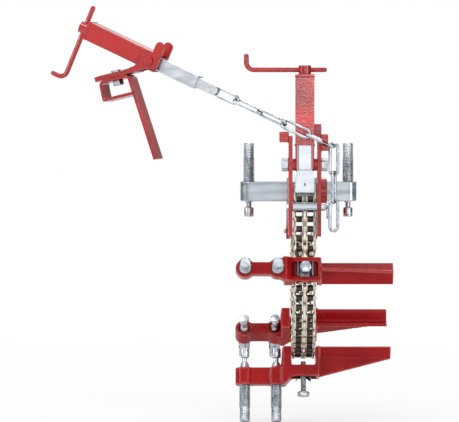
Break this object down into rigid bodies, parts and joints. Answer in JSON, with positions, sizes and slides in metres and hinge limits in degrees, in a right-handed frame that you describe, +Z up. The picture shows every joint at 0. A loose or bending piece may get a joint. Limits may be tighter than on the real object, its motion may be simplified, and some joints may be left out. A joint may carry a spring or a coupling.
{
  "type": "pipe alignment clamp",
  "caption": "Chain clamp that holds two pipe ends or a pipe and an elbow in line for welding, with jack bars, a tension screw and an elbow puller.",
  "frame": {"origin": "on the axis of the clamped pipe, in the plane of the roller chain", "axes": "+X along the pipe, away from the joint and the elbow; +Z up; -Y towards the operator and the hand screws"},
  "size_m": [0.5596, 0.419, 0.6825],
  "materials": {
    "red_paint": "gloss enamel",
    "zinc": "bright zinc plate",
    "chain_steel": "oiled bright steel"
  },
  "bodies": {
    "clamp_frame": {"chain_outer_plates": "chain_steel", "chain_inner_plates": "chain_steel", "chain_rollers": "chain_steel", "chain_pins": "chain_steel", "chain_anchor_pin": "zinc", "side_plate_left": "red_paint", "side_plate_right": "red_paint", "frame_spacer": "red_paint", "link_hook": "red_paint", "blank_lug": "red_paint", "pivot_studs": "zinc", "pivot_bushes": "red_paint", "screw_housing": "red_paint", "housing_cap": "red_paint", "keeper_pin": "zinc", "keeper_ring": "zinc", "level_bar": "zinc", "level_collar": "red_paint", "elbow_tube": "red_paint", "elbow_cap": "red_paint", "elbow_pivot_pins": "red_paint"},
    "main_screw": {"hand_screw": "red_paint", "hand_lever": "red_paint"},
    "main_draw": {"draw_bar": "zinc", "chain_block": "zinc"},
    "elbow_hand": {"elbow_screw": "red_paint", "elbow_lever": "red_paint"},
    "elbow_pull": {"elbow_draw_bar": "zinc", "pull_links": "zinc"},
    "tail_upper": {"tail_links_upper": "zinc"},
    "tail_lower": {"tail_links_lower": "zinc"},
    "arm": {"elbow_arm": "red_paint", "hook_bolt": "zinc"},
    "hook": {"elbow_hook": "red_paint"},
    "keeper_roller": {"keeper_roller": "zinc"},
    "front_bar": {"front_bar": "red_paint", "front_clip": "zinc"},
    "front_bolt": {"front_bolt": "zinc"},
    "front_pad_far": {"front_pad_far": "zinc"},
    "front_screw_far": {"front_screw_far": "zinc"},
    "front_pad_near": {"front_pad_near": "zinc"},
    "front_screw_near": {"front_screw_near": "zinc"},
    "bottom_bar": {"bottom_bar": "red_paint", "bottom_clip": "zinc"},
    "bottom_bolt": {"bottom_bolt": "zinc"},
    "bottom_pad_far": {"bottom_pad_far": "zinc"},
    "bottom_screw_far": {"bottom_screw_far": "zinc"},
    "bottom_pad_near": {"bottom_pad_near": "zinc"},
    "bottom_screw_near": {"bottom_screw_near": "zinc"},
    "back_bar": {"back_bar": "red_paint", "back_clip": "zinc"},
    "back_bolt": {"back_bolt": "zinc"},
    "back_pad_far": {"back_pad_far": "zinc"},
    "back_screw_far": {"back_screw_far": "zinc"},
    "back_pad_near": {"back_pad_near": "zinc"},
    "back_screw_near": {"back_screw_near": "zinc"},
    "level_pad_left": {"level_pad_left": "zinc"},
    "level_screw_left": {"level_screw_left": "zinc"},
    "level_pad_right": {"level_pad_right": "zinc"},
    "level_screw_right": {"level_screw_right": "zinc"}
  },
  "joints": [
    {"name": "front_bar_round_pipe", "type": "hinge", "parent": "clamp_frame", "child": "front_bar", "pos_m": [0, 0, 0], "axis": [1, 0, 0], "range_deg": [-2, 8]},
    {"name": "front_bolt_turn", "type": "hinge", "parent": "front_bar", "child": "front_bolt", "pos_m": [0, -0.1565, 0.03327], "axis": [0, -0.9781, 0.2079], "range_deg": [-180, 180]},
    {"name": "front_far_feed", "type": "slide", "parent": "front_bar", "child": "front_pad_far", "axis": [0, 0.9781, -0.2079], "range_m": [-0.009, 0.03]},
    {"name": "front_far_turn", "type": "hinge", "parent": "front_pad_far", "child": "front_screw_far", "pos_m": [-0.096, -0.13694, 0.02911], "axis": [0, 0.9781, -0.2079], "range_deg": [-1280, 4256]},
    {"name": "front_near_feed", "type": "slide", "parent": "front_bar", "child": "front_pad_near", "axis": [0, 0.9781, -0.2079], "range_m": [-0.009, 0.03]},
    {"name": "front_near_turn", "type": "hinge", "parent": "front_pad_near", "child": "front_screw_near", "pos_m": [-0.0445, -0.13694, 0.02911], "axis": [0, 0.9781, -0.2079], "range_deg": [-1280, 4256]},
    {"name": "bottom_bar_round_pipe", "type": "hinge", "parent": "clamp_frame", "child": "bottom_bar", "pos_m": [0, 0, 0], "axis": [1, 0, 0], "range_deg": [-8, 8]},
    {"name": "bottom_bolt_turn", "type": "hinge", "parent": "bottom_bar", "child": "bottom_bolt", "pos_m": [0, -0.04141, -0.15455], "axis": [0, -0.2588, -0.9659], "range_deg": [-180, 180]},
    {"name": "bottom_far_feed", "type": "slide", "parent": "bottom_bar", "child": "bottom_pad_far", "axis": [0, 0.2588, 0.9659], "range_m": [-0.009, 0.03]},
    {"name": "bottom_far_turn", "type": "hinge", "parent": "bottom_pad_far", "child": "bottom_screw_far", "pos_m": [-0.096, -0.03624, -0.13523], "axis": [0, 0.2588, 0.9659], "range_deg": [-1280, 4256]},
    {"name": "bottom_near_feed", "type": "slide", "parent": "bottom_bar", "child": "bottom_pad_near", "axis": [0, 0.2588, 0.9659], "range_m": [-0.009, 0.03]},
    {"name": "bottom_near_turn", "type": "hinge", "parent": "bottom_pad_near", "child": "bottom_screw_near", "pos_m": [-0.0445, -0.03624, -0.13523], "axis": [0, 0.2588, 0.9659], "range_deg": [-1280, 4256]},
    {"name": "back_bar_round_pipe", "type": "hinge", "parent": "clamp_frame", "child": "back_bar", "pos_m": [0, 0, 0], "axis": [1, 0, 0], "range_deg": [-8, 8]},
    {"name": "back_bolt_turn", "type": "hinge", "parent": "back_bar", "child": "back_bolt", "pos_m": [0, 0.12944, -0.09405], "axis": [0, 0.809, -0.5878], "range_deg": [-180, 180]},
    {"name": "back_far_feed", "type": "slide", "parent": "back_bar", "child": "back_pad_far", "axis": [0, -0.809, 0.5878], "range_m": [-0.009, 0.03]},
    {"name": "back_far_turn", "type": "hinge", "parent": "back_pad_far", "child": "back_screw_far", "pos_m": [-0.096, 0.11326, -0.08229], "axis": [0, -0.809, 0.5878], "range_deg": [-1280, 4256]},
    {"name": "back_near_feed", "type": "slide", "parent": "back_bar", "child": "back_pad_near", "axis": [0, -0.809, 0.5878], "range_m": [-0.009, 0.03]},
    {"name": "back_near_turn", "type": "hinge", "parent": "back_pad_near", "child": "back_screw_near", "pos_m": [-0.0445, 0.11326, -0.08229], "axis": [0, -0.809, 0.5878], "range_deg": [-1280, 4256]},
    {"name": "level_left_feed", "type": "slide", "parent": "clamp_frame", "child": "level_pad_left", "axis": [0, 0, -1], "range_m": [-0.009, 0.03]},
    {"name": "level_left_turn", "type": "hinge", "parent": "level_pad_left", "child": "level_screw_left", "pos_m": [-0.089, 0, 0.14], "axis": [0, 0, -1], "range_deg": [-1280, 4256]},
    {"name": "level_right_feed", "type": "slide", "parent": "clamp_frame", "child": "level_pad_right", "axis": [0, 0, -1], "range_m": [-0.009, 0.03]},
    {"name": "level_right_turn", "type": "hinge", "parent": "level_pad_right", "child": "level_screw_right", "pos_m": [0.074, 0, 0.14], "axis": [0, 0, -1], "range_deg": [-1280, 4256]},
    {"name": "main_screw_turn", "type": "hinge", "parent": "clamp_frame", "child": "main_screw", "pos_m": [0, -0.11765, 0.34], "axis": [0, 0, 1], "range_deg": [-1, 422]},
    {"name": "main_draw_feed", "type": "slide", "parent": "clamp_frame", "child": "main_draw", "axis": [0, 0, -1], "range_m": [0, 0.0035]},
    {"name": "elbow_screw_turn", "type": "hinge", "parent": "clamp_frame", "child": "elbow_hand", "pos_m": [-0.34835, -0.02058, 0.41474], "axis": [-0.8585, 0.3125, 0.4067], "range_deg": [-1, 1202]},
    {"name": "elbow_draw_feed", "type": "slide", "parent": "clamp_frame", "child": "elbow_pull", "axis": [0.8585, -0.3125, -0.4067], "range_m": [0, 0.01]},
    {"name": "tail_swing", "type": "hinge", "parent": "elbow_pull", "child": "tail_upper", "pos_m": [0.04516, -0.16381, 0.22829], "axis": [0.342, 0.9397, 0], "range_deg": [-35, 3]},
    {"name": "tail_end_swing", "type": "hinge", "parent": "tail_upper", "child": "tail_lower", "pos_m": [0.04516, -0.16381, 0.13909], "axis": [0.342, 0.9397, 0], "range_deg": [-30, 30]},
    {"name": "arm_fold", "type": "hinge", "parent": "clamp_frame", "child": "arm", "pos_m": [-0.24534, -0.05807, 0.36593], "axis": [0.342, 0.9397, 0], "range_deg": [-25, 8]},
    {"name": "hook_swivel", "type": "hinge", "parent": "arm", "child": "hook", "pos_m": [-0.30457, -0.03651, 0.34111], "axis": [-0.2114, 0.0769, 0.9744], "range_deg": [-20, 20]},
    {"name": "keeper_roll", "type": "hinge", "parent": "clamp_frame", "child": "keeper_roller", "pos_m": [0, -0.13275, 0.131], "axis": [1, 0, 0], "continuous": true}
  ],
  "couplings": [
    {"joint": "front_far_turn", "follows": "front_far_feed", "rad_per_m": 2473.7},
    {"joint": "front_near_turn", "follows": "front_near_feed", "rad_per_m": 2473.7},
    {"joint": "bottom_far_turn", "follows": "bottom_far_feed", "rad_per_m": 2473.7},
    {"joint": "bottom_near_turn", "follows": "bottom_near_feed", "rad_per_m": 2473.7},
    {"joint": "back_far_turn", "follows": "back_far_feed", "rad_per_m": 2473.7},
    {"joint": "back_near_turn", "follows": "back_near_feed", "rad_per_m": 2473.7},
    {"joint": "level_left_turn", "follows": "level_left_feed", "rad_per_m": 2473.7},
    {"joint": "level_right_turn", "follows": "level_right_feed", "rad_per_m": 2473.7},
    {"joint": "main_screw_turn", "follows": "main_draw_feed", "rad_per_m": 2094.4},
    {"joint": "elbow_screw_turn", "follows": "elbow_draw_feed", "rad_per_m": 2094.4}
  ]
}
